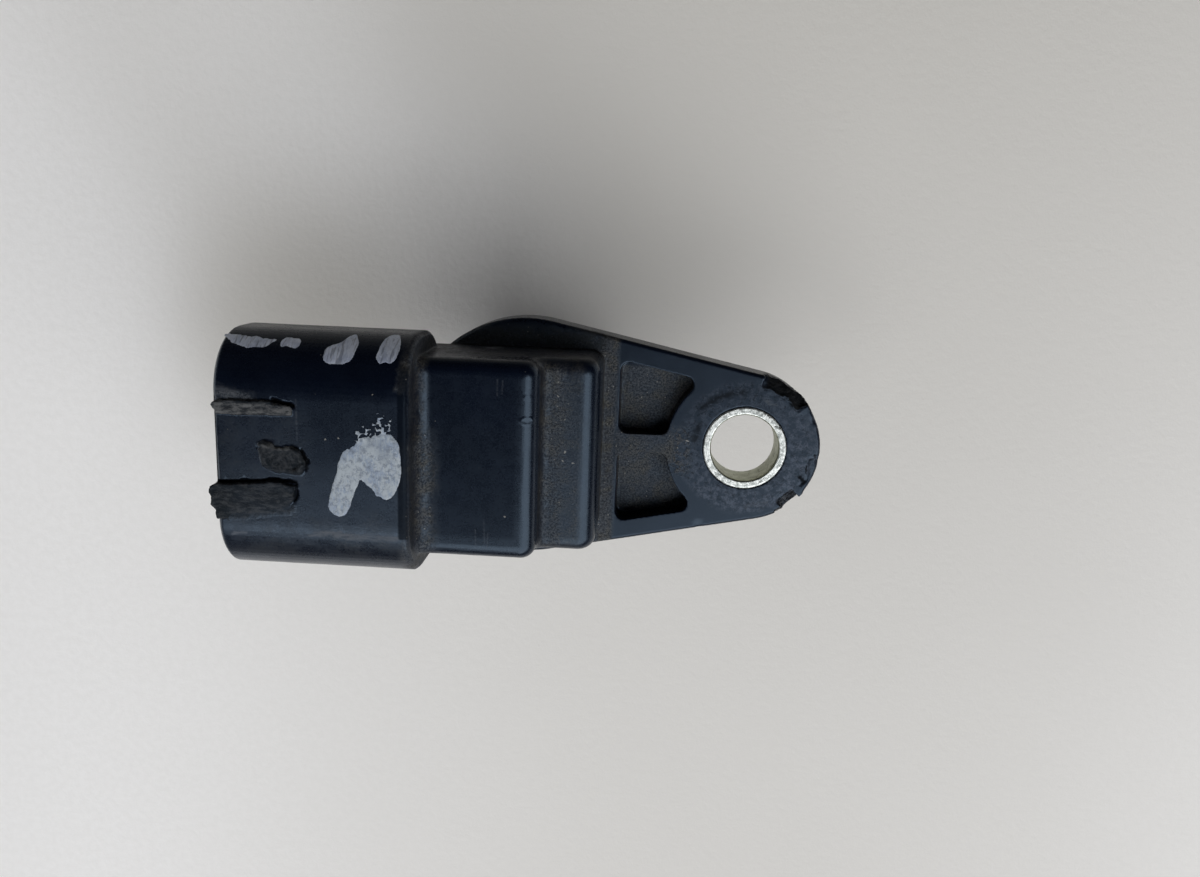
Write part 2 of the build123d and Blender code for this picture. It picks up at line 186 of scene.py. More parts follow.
# Paint: strokes as points of x from the mouth, y and half width; splashes with a reach
BLOB_STROKES = [
    [(11.45, -4.0, 1.0), (12.0, -2.2, 1.1), (12.9, 0.2, 1.3), (14.4, 1.35, 1.3)],
    [(14.2, 1.25, 1.3), (15.8, 1.6, 1.4), (16.05, -0.4, 1.3), (15.75, -1.95, 1.2)],
    [(13.6, 0.3, 1.1), (14.8, -1.0, 1.2)],
]
BLOB_SPLASHES = [(15.5, 3.4, 1.6), (13.9, 2.9, 1.1)]

# Paint of the blob and of the dabs: thick colour, thin colour, how speckled and how open. The dabs' copy is
# lighter and bluer, painted light for the shaded flank they lie on
BLOB_PAINT = ((0.37, 0.42, 0.47), (0.25, 0.31, 0.41), 0.75, 0.0)
DAB_PAINT_LIGHTENED = ((0.52, 0.57, 0.68), (0.36, 0.41, 0.54), 0.2, 0.5)

# The paint's mesh: its cells, and how deep its underside lies in the plastic
PAINT_CELL = 0.05
PAINT_ROOT = 0.04

# Name, strokes, thickness and seed of each dab
DABS = (
    ("paint_dab_1",
     [[(0.15, 10.95, 0.12), (1.2, 10.6, 0.36), (2.8, 10.42, 0.48), (4.2, 10.47, 0.36), (5.05, 10.7, 0.12)]],
     0.04, 81),
    ("paint_dab_2", [[(6.0, 10.58, 0.42), (7.1, 10.5, 0.42)]], 0.05, 83),
    ("paint_dab_3", [[(10.65, 9.75, 0.85), (11.6, 9.9, 1.0), (12.0, 10.6, 0.78)]], 0.05, 85),
    ("paint_dab_4",
     [[(15.25, 9.8, 0.65), (15.5, 10.75, 0.75)], [(15.9, 9.85, 0.68), (15.95, 10.75, 0.7)]],
     0.05, 87),
)

# Black spots of painted shade in the ear's crack and breaks, and grime round the ear: ends in x and y, half
# width, border
EAR_CRACK_SHADES = (
    ((28.85, -2.8), (29.25, -3.4), 0.20, 0.18),
    ((30.2, -0.4), (30.25, -0.6), 0.12, 0.10),
    ((29.4, -1.6), (29.45, -2.4), 0.10, 0.12),
    ((27.3, 4.95), (28.4, 4.5), 0.16, 0.20),
)
GRIME_ARC = (
    ((18.2, 4.1), (20.2, 5.4), 0.40, 0.4),
    ((20.2, 5.4), (22.4, 5.9), 0.30, 0.4),
    ((17.6, 0.6), (18.0, 2.2), 0.30, 0.4),
)

# Heights between which the marks lie on the flange's top
ON_FLANGE = (3.9, 4.6)

# Colours of the housing and of what lies on it
PLASTIC_DARK = (0.0013, 0.0026, 0.0078)
PLASTIC_LIGHT = (0.0020, 0.0038, 0.0105)
DUST_GREY = (0.108, 0.110, 0.112)
DUST_TAN = (0.150, 0.134, 0.100)
DUST_GAPS = (0.008, 0.009, 0.012)
# Scuffing with painted sheen on the washer's ring
SCUFF_AND_SHEEN = (0.070, 0.079, 0.106)
GRIME = (0.004, 0.0042, 0.005)
SCRATCH = (0.16, 0.165, 0.18)
TORN_DARK = (0.003, 0.0033, 0.004)
TORN_LIGHT = (0.034, 0.0345, 0.036)
RUBBED_DARK = (0.016, 0.016, 0.017)
RUBBED_LIGHT = (0.105, 0.105, 0.105)
TORN_EDGE = (0.075, 0.075, 0.075)
# Black of the painted shade in pits and cracks
RECESS_SHADE = (0.002, 0.002, 0.0025)
BREAK_DARK = (0.003, 0.0032, 0.0038)
BREAK_LIGHT = (0.016, 0.016, 0.017)
# Painted sheen on the socket's window side
PAINTED_SHEEN = (0.034, 0.044, 0.064)
# Grime and painted shade in the corner along the socket's end
CORNER_GRIME_AND_SHADE = (0.004, 0.006, 0.010)
WORN_EDGE = (0.045, 0.050, 0.066)
DARK_EDGE = (0.003, 0.003, 0.004)
DIRT_DARK = (0.004, 0.004, 0.003)
DIRT_LIGHT = (0.016, 0.014, 0.010)
PALE_SPECK = (0.34, 0.33, 0.30)
SHEEN = (0.56, 0.76, 1.0, 1)

# Colours of the sleeve, the seal, the paint and the paper
STEEL_PITTED = (0.27, 0.295, 0.29)
STEEL_BRIGHT = (0.69, 0.72, 0.715)
BORE_DARK = (0.31, 0.325, 0.225)
BORE_LIGHT = (0.43, 0.445, 0.325)
STEEL_DIRT = (0.06, 0.056, 0.05)
RUBBER_DARK = (0.012, 0.012, 0.013)
RUBBER_LIGHT = (0.022, 0.022, 0.023)
PAINT_GAPS = (0.03, 0.038, 0.07)
# Ends of the paper's painted light and shade
PAPER_PAINTED_LIT = (0.95, 0.948, 0.95)
PAPER_PAINTED_SHADE = (0.62, 0.604, 0.57)
PAPER_GRAIN = (0.7, 0.69, 0.67)
# Painted shade on the paper far out
PAPER_FAR_SHADE = (0.60, 0.59, 0.575)
PAPER_FLECK = (0.25, 0.23, 0.2)

# Finishes of the inner pieces: dark and light colour, roughness, metal, size of the mottling
FINISHES = {
    "tinned_brass": ((0.50, 0.49, 0.45), (0.66, 0.65, 0.60), 0.34, 1.0, 0.8),
    "holder_plastic": ((0.010, 0.010, 0.011), (0.02, 0.02, 0.022), 0.5, 0.0, 0.8),
    "board_laminate": ((0.012, 0.07, 0.03), (0.02, 0.10, 0.045), 0.35, 0.0, 0.8),
    "chip_resin": ((0.012, 0.012, 0.012), (0.022, 0.022, 0.022), 0.55, 0.0, 0.4),
    "bare_steel": ((0.42, 0.42, 0.43), (0.55, 0.55, 0.56), 0.36, 1.0, 0.8),
    "magnet_metal": ((0.38, 0.37, 0.36), (0.5, 0.49, 0.48), 0.3, 1.0, 0.8),
    "capacitor_ceramic": ((0.38, 0.27, 0.16), (0.5, 0.38, 0.25), 0.5, 0.0, 0.4),
}

# Lines left by the tool on the sleeve's rim
TURNED_LINES = 9

# The housing's mesh: voxels that it is rebuilt from, blocks that fill its passages for the
# terminals, triangles that it ends with, and how far it stays inside the CAD part's box
VOXEL = 0.12
PASSAGE_FILL = (5.6, 3.0, 1.4)
PASSAGE_FILL_X = 3.0
HOUSING_TRIANGLES = 195000
BOX_MARGIN = 0.002

# The camera at the photo's viewing angle
CAMERA_PLACE = (12.2604, 21.5473, 101.4046)
CAMERA_TURN = (
    (0.997813685, -0.0483033210, 0.0451069671),
    (0.0376064678, 0.976218853, 0.213500596),
    (-0.0543470595, -0.211337503, 0.975901049),
)
FOCAL_PIXELS = 950.0
PICTURE_PIXELS = 1200.0
SENSOR_WIDTH = 36.0
CLIP_START_M = 0.005

# Lamps: name, place in metres, size in metres, power in watts
LAMPS = (
    ("window", (0.3766, -0.5562, 0.7408), (1.54, 1.01), 12.9),
    ("far_window", (-0.3875, -0.4785, 0.7880), (0.30, 0.44), 0.86),
)

# The room: its glow above the horizon, the light from below, the least light anywhere, and
# the pale backdrop that the camera sees
GLOW_STRENGTH = 3.0
GLOW_SIDE = (-0.990, -0.139)
LIGHT_FROM_BELOW = 0.25
LEAST_LIGHT = 0.01
BACKDROP = 0.75
ROOM_COLOR = (1.0, 0.99, 0.975, 1)
FLOOR_REACH_M = 3.0


# Noise on arrays of points

def lattice(ix, iy, iz, seed):
    """A repeatable random number from -1 to 1 for each lattice point."""
    h = (ix * 374761393 + iy * 668265263 + iz * 2147483647 + seed * 1274126177) & 0xFFFFFFFF
    h = ((h ^ (h >> 13)) * 1274126177) & 0xFFFFFFFF
    h = h ^ (h >> 16)
    return (h & 0xFFFF) / 32767.5 - 1.0


def smooth_noise(points, seed):
    base = np.floor(points).astype(np.int64)
    t = points - base
    t = t * t * (3 - 2 * t)
    total = np.zeros(len(points))
    for dx in (0, 1):
        wx = t[:, 0] if dx else 1 - t[:, 0]
        for dy in (0, 1):
            wy = t[:, 1] if dy else 1 - t[:, 1]
            for dz in (0, 1):
                wz = t[:, 2] if dz else 1 - t[:, 2]
                total += wx * wy * wz * lattice(base[:, 0] + dx, base[:, 1] + dy, base[:, 2] + dz, seed)
    return total


def fbm(points, size, octaves=3, seed=1, stretch=(1, 1, 1)):
    """Layered noise, about -1 to 1; size is the length of its largest bumps."""
    p = points / (np.array(stretch, float) * size)
    total = np.zeros(len(p))
    weight = 0.6
    for k in range(octaves):
        total += weight * smooth_noise(p + 17.3 * k, seed + k)
        p = p * 2.03
        weight *= 0.5
    return total


def step_up(value, low, high):
    t = np.clip((value - low) / (high - low), 0, 1)
    return t * t * (3 - 2 * t)


def outline_distance(x, y, outline):
    """Signed distance to a closed outline, negative inside."""
    best = np.full(len(x), 1e9)
    inside = np.zeros(len(x), bool)
    count = len(outline)
    for i in range(count):
        ax, ay = outline[i]
        bx, by = outline[(i + 1) % count]
        ex, ey = bx - ax, by - ay
        t = np.clip(((x - ax) * ex + (y - ay) * ey) / (ex * ex + ey * ey), 0, 1)
        best = np.minimum(best, np.hypot(x - ax - t * ex, y - ay - t * ey))
        crosses = (ay > y) != (by > y)
        with np.errstate(divide="ignore", invalid="ignore"):
            at = ax + (y - ay) * ex / (ey if ey else 1e-12)
        inside ^= crosses & (x < at)
    return np.where(inside, -best, best)


def line_distance(x, y, points):
    """Distance to an open line through the points."""
    best = np.full(len(x), 1e9)
    for (ax, ay), (bx, by) in zip(points, points[1:]):
        ex, ey = bx - ax, by - ay
        t = np.clip(((x - ax) * ex + (y - ay) * ey) / (ex * ex + ey * ey), 0, 1)
        best = np.minimum(best, np.hypot(x - ax - t * ex, y - ay - t * ey))
    return best


# Meshes

def coordinates(mesh):
    co = np.empty(len(mesh.vertices) * 3)
    mesh.vertices.foreach_get("co", co)
    return co.reshape(-1, 3)


def normals(mesh):
    no = np.empty(len(mesh.vertices) * 3)
    mesh.vertex_normals.foreach_get("vector", no)
    return no.reshape(-1, 3)


def set_coordinates(mesh, co):
    mesh.vertices.foreach_set("co", np.ascontiguousarray(co).ravel())
    mesh.update()


def smooth_shaded(mesh):
    mesh.polygons.foreach_set("use_smooth", np.ones(len(mesh.polygons), bool))
    mesh.update()


def add_object(name, mesh):
    obj = bpy.data.objects.new(name, mesh)
    bpy.context.scene.collection.objects.link(obj)
    return obj


def applied(obj):
    """The object's mesh with its modifiers applied; the object itself goes."""
    depsgraph = bpy.context.evaluated_depsgraph_get()
    mesh = bpy.data.meshes.new_from_object(obj.evaluated_get(depsgraph), depsgraph=depsgraph)
    bpy.data.objects.remove(obj)
    return mesh


def finish_piece(name, mesh, material, replaced=()):
    """Turn a mesh in millimetres into a piece of the part."""
    mesh.transform(Matrix.Scale(MM, 4))
    mesh.name = name
    mesh.materials.clear()
    mesh.materials.append(material)
    obj = add_object(name, mesh)
    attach(obj, "root")
    if replaced:
        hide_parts(*replaced)
    return obj


def lathe(profile, segments, centre=(0, 0)):
    """A closed turned mesh about Z from a closed profile of radius and height."""
    bm = bmesh.new()
    rings = []
    for k in range(segments):
        angle = 2 * math.pi * k / segments
        c, s = math.cos(angle), math.sin(angle)
        rings.append([bm.verts.new((centre[0] + r * c, centre[1] + r * s, z)) for r, z in profile])
    count = len(profile)
    for k in range(segments):
        a, b = rings[k], rings[(k + 1) % segments]
        for i in range(count):
            j = (i + 1) % count
            bm.faces.new((a[i], b[i], b[j], a[j]))
    bmesh.ops.recalc_face_normals(bm, faces=bm.faces)
    mesh = bpy.data.meshes.new("turned")
    bm.to_mesh(mesh)
    bm.free()
    smooth_shaded(mesh)
    return mesh


# Node graphs

class Graph:
    """A material's node tree, with places read in millimetres of the part's frame."""

    def __init__(self, name):
        self.material = bpy.data.materials.new(name)
        self.material.use_nodes = True
        self.tree = self.material.node_tree
        self.shader = self.tree.nodes["Principled BSDF"]
        coords = self.tree.nodes.new("ShaderNodeTexCoord")
        self.place = self.vector("SCALE", coords.outputs["Object"], 1 / MM)
        split = self.tree.nodes.new("ShaderNodeSeparateXYZ")
        self.tree.links.new(self.place, split.inputs[0])
        self.x, self.y, self.z = split.outputs
        facing = self.tree.nodes.new("ShaderNodeSeparateXYZ")
        self.tree.links.new(coords.outputs["Normal"], facing.inputs[0])
        self.facing_y = facing.outputs[1]

    def feed(self, socket, value):
        if isinstance(value, bpy.types.NodeSocket):
            self.tree.links.new(value, socket)
        elif isinstance(value, tuple) and len(value) == 3 and socket.type == "RGBA":
            socket.default_value = (*value, 1)
        else:
            socket.default_value = value

    def math(self, operation, a, b=0.0, clamp=False):
        node = self.tree.nodes.new("ShaderNodeMath")
        node.operation = operation
        node.use_clamp = clamp
        self.feed(node.inputs[0], a)
        self.feed(node.inputs[1], b)
        return node.outputs[0]

    def vector(self, operation, a, b):
        """Arithmetic on vectors; b is the factor where a is scaled."""
        node = self.tree.nodes.new("ShaderNodeVectorMath")
        node.operation = operation
        self.feed(node.inputs[0], a)
        self.feed(node.inputs["Scale" if operation == "SCALE" else 1], b)
        return node.outputs["Value" if operation in ("DOT_PRODUCT", "DISTANCE") else "Vector"]

    def total(self, *values):
        out = values[0]
        for v in values[1:]:
            out = self.math("ADD", out, v)
        return out

    def product(self, *values):
        out = values[0]
        for v in values[1:]:
            out = self.math("MULTIPLY", out, v)
        return out

    def most(self, *values):
        return self.highest(values)

    def highest(self, values):
        """The greatest of the values, each of which may be made only when its turn comes."""
        out = None
        for value in values:
            out = value if out is None else self.math("MAXIMUM", out, value)
        return out

    def ramp(self, value, low, high, to_low=0.0, to_high=1.0):
        node = self.tree.nodes.new("ShaderNodeMapRange")
        node.interpolation_type = "SMOOTHSTEP"
        self.feed(node.inputs["Value"], value)
        node.inputs["From Min"].default_value = low
        node.inputs["From Max"].default_value = high
        node.inputs["To Min"].default_value = to_low
        node.inputs["To Max"].default_value = to_high
        return node.outputs["Result"]

    def between(self, value, low, high, soft):
        rise = self.ramp(value, low - soft, low + soft)
        return self.product(rise, self.ramp(value, high + soft, high - soft))

    def slab(self, soft, x=None, y=None, z=None):
        """1 inside a box with soft sides, 0 outside."""
        parts = []
        for value, span in ((self.x, x), (self.y, y), (self.z, z)):
            if span is not None:
                parts.append(self.between(value, span[0], span[1], soft))
        return self.product(*parts)

    def moved(self, amount, size, seed=0.0):
        """The place, shifted about by noise, for ragged borders."""
        wave = self.tree.nodes.new("ShaderNodeTexNoise")
        wave.inputs["Scale"].default_value = 1 / size
        wave.inputs["Detail"].default_value = 3
        shift = self.vector("ADD", self.place, (seed, seed * 0.7, seed * 1.3))
        self.tree.links.new(shift, wave.inputs["Vector"])
        centre = self.vector("SUBTRACT", wave.outputs["Color"], (0.5, 0.5, 0.5))
        return self.vector("ADD", self.place, self.vector("SCALE", centre, amount))

    def texture(self, kind, scale, offset):
        """A texture node that reads the place, scaled and shifted."""
        mapping = self.tree.nodes.new("ShaderNodeMapping")
        self.tree.links.new(self.place, mapping.inputs["Vector"])
        mapping.inputs["Location"].default_value = offset
        mapping.inputs["Scale"].default_value = scale
        node = self.tree.nodes.new(kind)
        self.tree.links.new(mapping.outputs[0], node.inputs["Vector"])
        node.inputs["Scale"].default_value = 1
        return node

    def noise(self, size, detail=4.0, rough=0.55, stretch=(1, 1, 1), offset=(0, 0, 0)):
        node = self.texture("ShaderNodeTexNoise", [1 / (size * s) for s in stretch], offset)
        node.inputs["Detail"].default_value = detail
        node.inputs["Roughness"].default_value = rough
        return node.outputs["Fac"]

    def specks(self, size, radius, offset=(0, 0, 0)):
        """Small round dots, one to a cell of the given size."""
        node = self.texture("ShaderNodeTexVoronoi", [1 / size] * 3, offset)
        pick = self.tree.nodes.new("ShaderNodeSeparateColor")
        self.tree.links.new(node.outputs["Color"], pick.inputs[0])
        dot = self.ramp(node.outputs["Distance"], radius / size, 0.3 * radius / size)
        return self.product(dot, self.ramp(pick.outputs[0], 0.55, 0.8))

    def mix(self, factor, a, b):
        node = self.tree.nodes.new("ShaderNodeMix")
        node.data_type = "RGBA"
        self.feed(node.inputs[0], factor)
        self.feed(node.inputs[6], a)
        self.feed(node.inputs[7], b)
        return node.outputs[2]

    def blend(self, factor, a, b):
        node = self.tree.nodes.new("ShaderNodeMix")
        node.data_type = "FLOAT"
        self.feed(node.inputs[0], factor)
        self.feed(node.inputs[2], a)
        self.feed(node.inputs[3], b)
        return node.outputs[0]

    def flat(self, place):
        return self.vector("MULTIPLY", place or self.place, (1, 1, 0))

    def capsule(self, a, b, radius, soft, place=None):
        """1 on a short thick line from a to b, drawn in x and y."""
        dx, dy = b[0] - a[0], b[1] - a[1]
        length2 = dx ** 2 + dy ** 2
        away = self.vector("SUBTRACT", self.flat(place), (a[0], a[1], 0))
        dot = self.vector("DOT_PRODUCT", away, (dx / length2, dy / length2, 0))
        along = self.vector("SCALE", (dx, dy, 0), self.math("ADD", dot, 0.0, clamp=True))
        gap = self.vector("DISTANCE", away, along)
        return self.ramp(gap, radius + soft, max(radius - soft, 0))

    def around(self, centre, place=None):
        """Distance from an upright axis."""
        return self.vector("DISTANCE", self.flat(place), (centre[0], centre[1], 0))

    def bump(self, height, depth, before=None):
        """Bump whose full height is depth, in millimetres."""
        node = self.tree.nodes.new("ShaderNodeBump")
        node.inputs["Distance"].default_value = depth * MM
        self.feed(node.inputs["Height"], height)
        if before is not None:
            self.tree.links.new(before, node.inputs["Normal"])
        return node.outputs["Normal"]

    def done(self, color, rough, normal=None, **constants):
        self.feed(self.shader.inputs["Base Color"], color)
        self.feed(self.shader.inputs["Roughness"], rough)
        if normal is not None:
            self.tree.links.new(normal, self.shader.inputs["Normal"])
        for name, value in constants.items():
            self.shader.inputs[name.replace("_", " ")].default_value = value
        return self.material


def housing_material():
    g = Graph("housing_black_plastic")
    cloud = g.noise(6.0, 3, 0.6)
    patch = g.noise(1.6, 4, 0.6, offset=(3, 1, 5))
    fine = g.noise(0.22, 3, 0.6)
    grit = g.noise(0.12, 2, 0.7, offset=(9, 4, 2))
    ragged = g.moved(0.8, 0.6)
    bare = g.mix(g.ramp(cloud, 0.35, 0.65), PLASTIC_DARK, PLASTIC_LIGHT)

    # Dust in the hollow corners
    worn_dust = g.ramp(g.total(patch, g.product(fine, 0.6)), 0.55, 1.05)
    dust = g.highest(
        g.product(g.slab(border, x, y, z), g.ramp(worn_dust, 0.0, 1.0, least, most))
        for border, x, y, z, least, most in DUST_ZONES
    )
    lumps = g.highest(
        g.product(g.capsule(start, end, half, border, ragged), g.slab(0.5, z=z),
                  g.ramp(worn_dust, 0.0, 1.0, least, most))
        for start, end, half, border, z, least, most in DUST_LUMPS
    )
    dust = g.most(dust, lumps)
    sand = g.product(g.slab(0.7, x=(14.9, 17.2), y=(-3.2, 1.8), z=(3.8, 4.4)),
                     g.ramp(g.noise(0.5, 4, 0.7, offset=(6, 2, 1)), 0.44, 0.60))
    tan = g.most(g.ramp(g.noise(2.4, 4, 0.6, offset=(8, 8, 1)), 0.45, 0.62), sand)
    dust = g.most(dust, sand)
    dust_color = g.mix(tan, DUST_GREY, DUST_TAN)
    grain = g.noise(0.20, 4, 0.8, offset=(1, 7, 3))
    dust_color = g.mix(g.ramp(grain, 0.40, 0.60), g.mix(0.8, dust_color, DUST_GAPS), dust_color)
    color = g.mix(g.product(dust, 0.72), bare, dust_color)

    # Scuffed ring where the screw's washer sat, lighter and bluer towards the window as painted sheen
    radius = g.around((BOLT_X, 0))
    washer = g.product(g.between(radius, 4.4, 7.0, 0.5), g.slab(0.4, z=(3.8, 4.6)))
    toward_window = g.total(g.product(g.x, 0.35), g.product(g.y, -0.6))
    toward_window = g.ramp(toward_window, 4.5, 11.0, 0.35, 1.0)
    scuff_and_sheen = g.product(washer, toward_window, g.ramp(g.noise(0.7, 5, 0.8, offset=(2, 2, 2)), 0.42, 0.62))
    color = g.mix(g.product(scuff_and_sheen, 0.80), color, SCUFF_AND_SHEEN)
    pitted = g.product(washer, g.ramp(g.noise(0.45, 4, 0.8, offset=(7, 3, 2)), 0.50, 0.64))
    arc = g.highest(g.capsule(*spot, ragged) for spot in GRIME_ARC)
    arc = g.product(arc, g.ramp(g.noise(0.7, 4, 0.7), 0.36, 0.48))
    grime = g.product(g.most(g.product(pitted, 0.8), arc), g.slab(0.3, z=ON_FLANGE))
    color = g.mix(g.product(grime, 0.85), color, GRIME)

    # Pale scratches and smears
    streaks = g.noise(0.5, 4, 0.7, stretch=(3.0, 0.5, 1), offset=(1, 5, 1))

    def drawn(marks):
        return g.highest(
            g.product(g.capsule(a, b, half, half * 0.8 + 0.02, ragged if half > 0.1 else None), strength)
            for a, b, half, strength in marks
        )

    mark = g.total(g.product(drawn(BODY_MARKS), g.slab(0.3, z=(15, 20))),
                   g.product(drawn(FLANGE_MARKS), g.slab(0.3, z=ON_FLANGE)))
    mark = g.product(mark, g.ramp(streaks, 0.38, 0.58, 0.15, 1.0))
    wall_scratch = g.product(g.slab(0.3, x=(-6.3, -2.2), y=(9.3, 10.2), z=(5.6, 7.2)),
                             g.ramp(g.noise(0.5, 4, 0.7, stretch=(4, 1, 1)), 0.5, 0.6))
    color = g.mix(g.product(g.most(mark, wall_scratch), 0.6), color, SCRATCH)

    # Torn plastic on the socket and broken plastic on the ear
    fibre = g.noise(0.42, 4, 0.75, stretch=(2.4, 1, 1))
    latch = g.product(g.capsule((MOUTH_X + 5.3, 0.2), (MOUTH_X + 7.6, 0.0), 0.98, 0.2, ragged),
                      g.slab(0.2, z=(18.3, 19.8)))
    foot = g.product(g.capsule((MOUTH_X + 1.2, -5.45), (MOUTH_X + 7.0, -4.5), 0.35, 0.3, ragged),
                     g.slab(0.2, z=(18.3, 19.8)))
    torn = g.most(g.ramp(g.z, SHROUD_TOP + 0.02, SHROUD_TOP + 0.08), latch, g.product(foot, 0.8))
    # Painted shade: black in the torn top's pits, in the cracks beside the rails and in the ear's crack and
    # breaks
    recess_shade = g.product(g.ramp(g.z, SHROUD_TOP - 0.06, SHROUD_TOP - 0.14),
                    g.slab(0.1, x=(MOUTH_X + 0.1, MOUTH_X + 9.2), y=(-5.5, 5.7), z=(17.5, 19.2)))
    shaken = g.moved(0.25, 0.3)
    crack_shade_lines = g.highest(
        g.capsule((MOUTH_X + ax, ay), (MOUTH_X + bx, by), 0.17, 0.10, shaken) for ax, ay, bx, by in CRACK_SHADE_LINES
    )
    recess_shade = g.most(recess_shade, g.product(crack_shade_lines, g.ramp(g.z, SHROUD_TOP + 0.12, SHROUD_TOP + 0.04),
                                g.slab(0.2, z=(17.5, 20))))
    ear_crack_shade = g.highest(g.capsule(*spot, ragged) for spot in EAR_CRACK_SHADES)
    recess_shade = g.most(recess_shade, g.product(ear_crack_shade, g.slab(0.3, z=(3.6, 4.6))))
    rubbed = g.product(torn, g.slab(0.2, x=(MOUTH_X - 0.2, MOUTH_X + 7.4), y=(4.0, 5.2)))
    crumbly = g.blend(latch, fibre, g.noise(0.45, 5, 0.8, offset=(5, 5, 5)))
    color = g.mix(torn, color, g.mix(g.ramp(crumbly, 0.40, 0.64), TORN_DARK, TORN_LIGHT))
    color = g.mix(rubbed, color, g.mix(g.ramp(fibre, 0.38, 0.62), RUBBED_DARK, RUBBED_LIGHT))
    pale_edge = g.product(g.capsule((MOUTH_X + 4.7, 1.45), (MOUTH_X + 7.0, 1.25), 0.18, 0.16, ragged), torn)
    color = g.mix(g.product(pale_edge, 0.8), color, TORN_EDGE)
    color = g.mix(recess_shade, color, RECESS_SHADE)
    out_x = g.math("SUBTRACT", g.x, BOLT_X)
    angle = g.math("ARCTAN2", g.y, out_x)
    broken = g.product(
        g.ramp(radius, 6.0, 6.4),
        g.total(
            g.product(g.ramp(angle, 0.55, 0.65), g.ramp(angle, 1.36, 1.26), g.ramp(g.z, 3.0, 3.4)),
            g.product(g.ramp(angle, -1.15, -1.08), g.ramp(angle, -0.58, -0.66), g.ramp(g.z, 2.1, 2.7),
                      g.ramp(g.noise(0.55, 4, 0.75, offset=(3, 3, 7)), 0.42, 0.60, 0.15, 0.9)),
        ),
        g.ramp(g.z, 4.19, 4.12),
    )
    color = g.mix(broken, color, g.mix(g.ramp(fibre, 0.4, 0.7), BREAK_DARK, BREAK_LIGHT))

    # Painted sheen on the socket's side towards the window, over rubbed plastic
    painted_sheen = g.product(
        g.slab(1.2, x=(MOUTH_X + 1.5, MOUTH_X + 18.0), y=(-7.6, -0.8), z=(14.0, 19.4)),
        g.ramp(g.noise(1.1, 5, 0.7, stretch=(2.0, 1, 1), offset=(4, 9, 6)), 0.35, 0.62, 0.35, 1.0),
    )
    color = g.mix(g.product(painted_sheen, 0.30), color, PAINTED_SHEEN)

    # Grime and painted shade in the corner along the socket's end, and grime on the worn rim of the ear
    corner_grime_and_shade = g.slab(0.15, x=(-9.8, -8.95), y=(-7.0, 9.0), z=(17.5, 19.2))
    color = g.mix(g.product(corner_grime_and_shade, 0.7), color, CORNER_GRIME_AND_SHADE)
    worn_rim = g.product(g.ramp(radius, 6.5, 7.1), g.ramp(angle, -0.5, -0.2), g.ramp(angle, 0.62, 0.45),
                         g.slab(0.3, z=ON_FLANGE))
    worn = g.product(worn_rim, g.ramp(g.noise(0.7, 5, 0.75, offset=(1, 3, 8)), 0.45, 0.58, 0.0, 0.6))
    color = g.mix(worn, color, WORN_EDGE)
    nicked = g.product(worn_rim, g.ramp(g.noise(0.35, 4, 0.75, offset=(6, 3, 8)), 0.55, 0.62, 0.0, 0.8))
    color = g.mix(nicked, color, DARK_EDGE)

    # Dark dirt on the flange behind the body, with painted glints as pale dots
    dirty = g.product(g.slab(0.8, x=(-8.0, 8.2), y=(9.3, 11.6), z=(3.6, 5.4)),
                      g.ramp(g.noise(1.0, 4, 0.7, offset=(3, 9, 4)), 0.36, 0.56))
    color = g.mix(g.product(dirty, 0.8), color, g.mix(grain, DIRT_DARK, DIRT_LIGHT))
    painted_glints = g.product(g.specks(0.5, 0.08, offset=(2, 5, 2)), dirty)

    # Loose pale specks
    specks = g.product(g.specks(1.4, 0.06), g.ramp(cloud, 0.4, 0.6, 0.1, 1.0))
    gritty = g.product(g.specks(0.5, 0.09, offset=(4, 4, 4)), g.ramp(dust, 0.15, 0.5))
    dots = g.highest(
        g.ramp(g.around(place, ragged), size + 0.04, size - 0.02) for place, size in PALE_SPECKS
    )
    pale = g.most(specks, gritty, painted_glints, g.product(dots, g.slab(0.3, z=(3.9, 20))))
    color = g.mix(g.product(pale, 0.6), color, PALE_SPECK)

    # Roughness, relief and sheen
    plain_rough = g.ramp(g.total(patch, fine), 0.7, 1.3, 0.24, 0.32)
    flange_rough = g.product(g.slab(0.2, x=(8.0, 31), z=(3.9, 4.5)), 0.06)
    rough = g.blend(dust, g.total(plain_rough, flange_rough), 0.72)
    rough = g.blend(g.most(torn, mark, dirty, broken, recess_shade), rough, 0.72)
    rough = g.blend(g.product(scuff_and_sheen, 0.6), rough, 0.5)
    normal = g.bump(fine, 0.003)
    normal = g.bump(g.product(g.total(grit, grain), g.total(g.most(dust, dirty), 0.04)), 0.035, normal)
    normal = g.bump(g.product(g.total(fibre, grain), g.most(torn, broken)), 0.10, normal)
    g.shader.inputs["Specular Tint"].default_value = SHEEN
    # Sheen: less on torn, broken and grimy plastic, and cut on the high block's top and on +Y-facing sides
    # as painted shade
    dull_and_shaded = g.most(
        g.slab(0.4, x=(-7.6, 0.6), y=(-7.4, 8.2), z=(15.7, 16.2)),
        g.product(torn, 0.8),
        corner_grime_and_shade,
        broken,
        g.product(g.slab(0.4, x=(8.0, 31.5), z=(3.9, 4.5)), 0.3),
    )
    crumbs = g.product(g.math("MULTIPLY", dust, 2.2, clamp=True), g.ramp(grain, 0.60, 0.42, 0.0, 0.75))
    smeared = g.product(grime, 0.75)
    gloss_and_shade = g.product(
        g.ramp(dull_and_shaded, 0.0, 1.0, 0.5, 0.28),
        g.ramp(g.facing_y, 0.45, 0.80, 1.0, 0.15),
        g.ramp(g.most(recess_shade, broken, crumbs, smeared, corner_grime_and_shade), 0.0, 1.0, 1.0, 0.25),
    )
    g.feed(g.shader.inputs["Specular IOR Level"], gloss_and_shade)
    return g.done(color, rough, normal, IOR=1.52)


